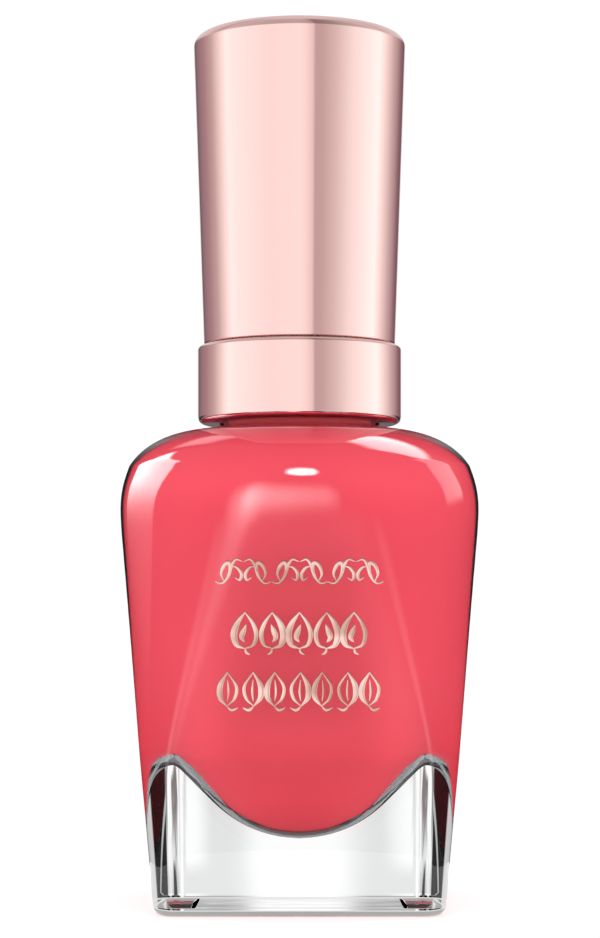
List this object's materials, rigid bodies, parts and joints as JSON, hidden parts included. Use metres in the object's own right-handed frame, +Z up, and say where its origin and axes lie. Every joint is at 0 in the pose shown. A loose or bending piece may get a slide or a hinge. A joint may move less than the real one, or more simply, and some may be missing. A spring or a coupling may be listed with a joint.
{
  "type": "nail polish bottle",
  "caption": "Thick clear glass bottle with square foot and round shoulder, filled with coral lacquer, with a tall tapered metallic screw cap that carries a brush.",
  "frame": {"origin": "middle of the foot, on the surface the bottle stands on", "axes": "+Z up along the bottle's and cap's common axis, -Y towards the face with the foil ornament, +X to the viewer's right"},
  "size_m": [0.0342, 0.0342, 0.083],
  "materials": {
    "glass": "polished clear flint glass",
    "lacquer": "opaque coral cream lacquer, wet gloss",
    "steel": "polished steel",
    "cap_plastic": "moulded polypropylene, slightly glossy",
    "rose_gold": "polished rose-gold anodised metal",
    "seal": "white foamed liner",
    "stem_plastic": "black moulded plastic",
    "bristle": "black nylon filament",
    "staple": "bright wire",
    "foil": "hot-stamped rose-gold foil",
    "label": "blank satin paper sticker"
  },
  "bodies": {
    "bottle": {"glass_bottle": "glass", "nail_polish": "lacquer", "base_label": "label", "foil_vine": "foil", "foil_buds": "foil", "foil_leaves": "foil"},
    "seal": {"seal_washer": "seal"},
    "collar": {"collar_ring": "rose_gold"},
    "cap": {"inner_cap": "cap_plastic", "cap_handle": "rose_gold", "brush_stem": "stem_plastic", "bristle_tuft": "bristle", "bristle_staple": "staple"},
    "balls": {"mixing_ball_1": "steel", "mixing_ball_2": "steel"}
  },
  "joints": [
    {"name": "cap_lift", "type": "slide", "parent": "bottle", "child": "seal", "axis": [0, 0, 1], "range_m": [0, 0.06]},
    {"name": "cap_rise", "type": "slide", "parent": "seal", "child": "collar", "axis": [0, 0, 1], "range_m": [0, 0.0032]},
    {"name": "cap_turn", "type": "hinge", "parent": "collar", "child": "cap", "pos_m": [0, 0, 0.06], "axis": [0, 0, 1], "range_deg": [0, 540]},
    {"name": "ball_roll", "type": "hinge", "parent": "bottle", "child": "balls", "pos_m": [0, 0, 0.0095], "axis": [0, 0, 1], "continuous": true}
  ],
  "couplings": [
    {"joint": "cap_rise", "follows": "cap_turn", "m_per_rad": 0.00033693}
  ]
}
